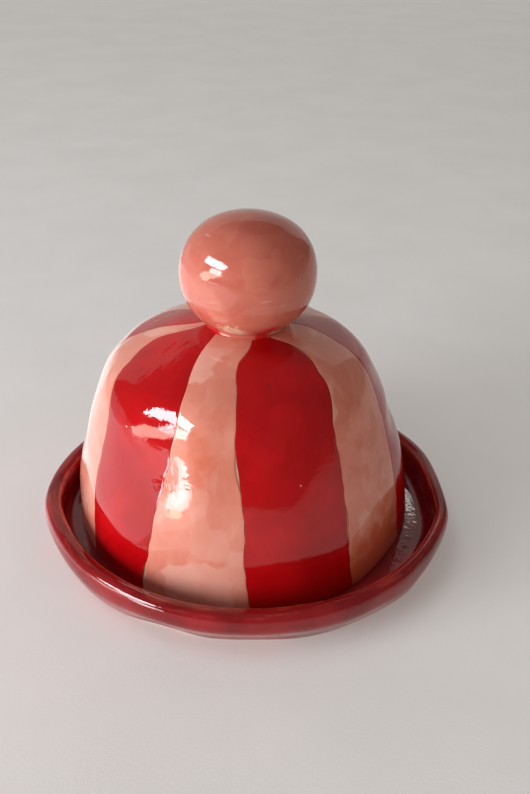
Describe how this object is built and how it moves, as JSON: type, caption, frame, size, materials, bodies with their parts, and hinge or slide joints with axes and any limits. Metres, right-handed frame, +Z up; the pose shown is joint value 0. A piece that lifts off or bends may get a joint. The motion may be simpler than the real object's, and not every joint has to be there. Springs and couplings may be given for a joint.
{
  "type": "butter dish",
  "caption": "Round covered butter dish in glazed ceramic: a shallow saucer and a loose, red and pink striped domed cover that lifts off by a ball knob.",
  "frame": {"origin": "centre of the saucer's foot, on the surface it stands on", "axes": "+Z up, -Y towards the front, +X to the right seen from the front; the cover leans a little towards -X"},
  "size_m": [0.165, 0.165, 0.133],
  "materials": {
    "bare_clay": "matt buff earthenware",
    "dish_glaze": "glossy dark red glaze",
    "red_glaze": "glossy red glaze",
    "pink_glaze": "glossy mottled salmon pink glaze",
    "knob_glaze": "glossy deep salmon glaze",
    "lining_glaze": "glossy salmon pink glaze"
  },
  "bodies": {
    "dish": {"dish_body": "bare_clay", "dish_glaze": "dish_glaze"},
    "cover": {"cover_body": "bare_clay", "cover_lining": "lining_glaze", "red_stripe_1": "red_glaze", "red_stripe_2": "red_glaze", "red_stripe_3": "red_glaze", "red_stripe_4": "red_glaze", "red_stripe_5": "red_glaze", "pink_stripe_1": "pink_glaze", "pink_stripe_2": "pink_glaze", "pink_stripe_3": "pink_glaze", "pink_stripe_4": "pink_glaze", "pink_stripe_5": "pink_glaze", "knob_ball": "bare_clay", "knob_neck": "bare_clay", "knob_glaze": "knob_glaze"}
  },
  "joints": [
    {"name": "cover_lift", "type": "slide", "parent": "dish", "child": "cover", "axis": [0, 0, 1], "range_m": [0, 0.12]}
  ]
}
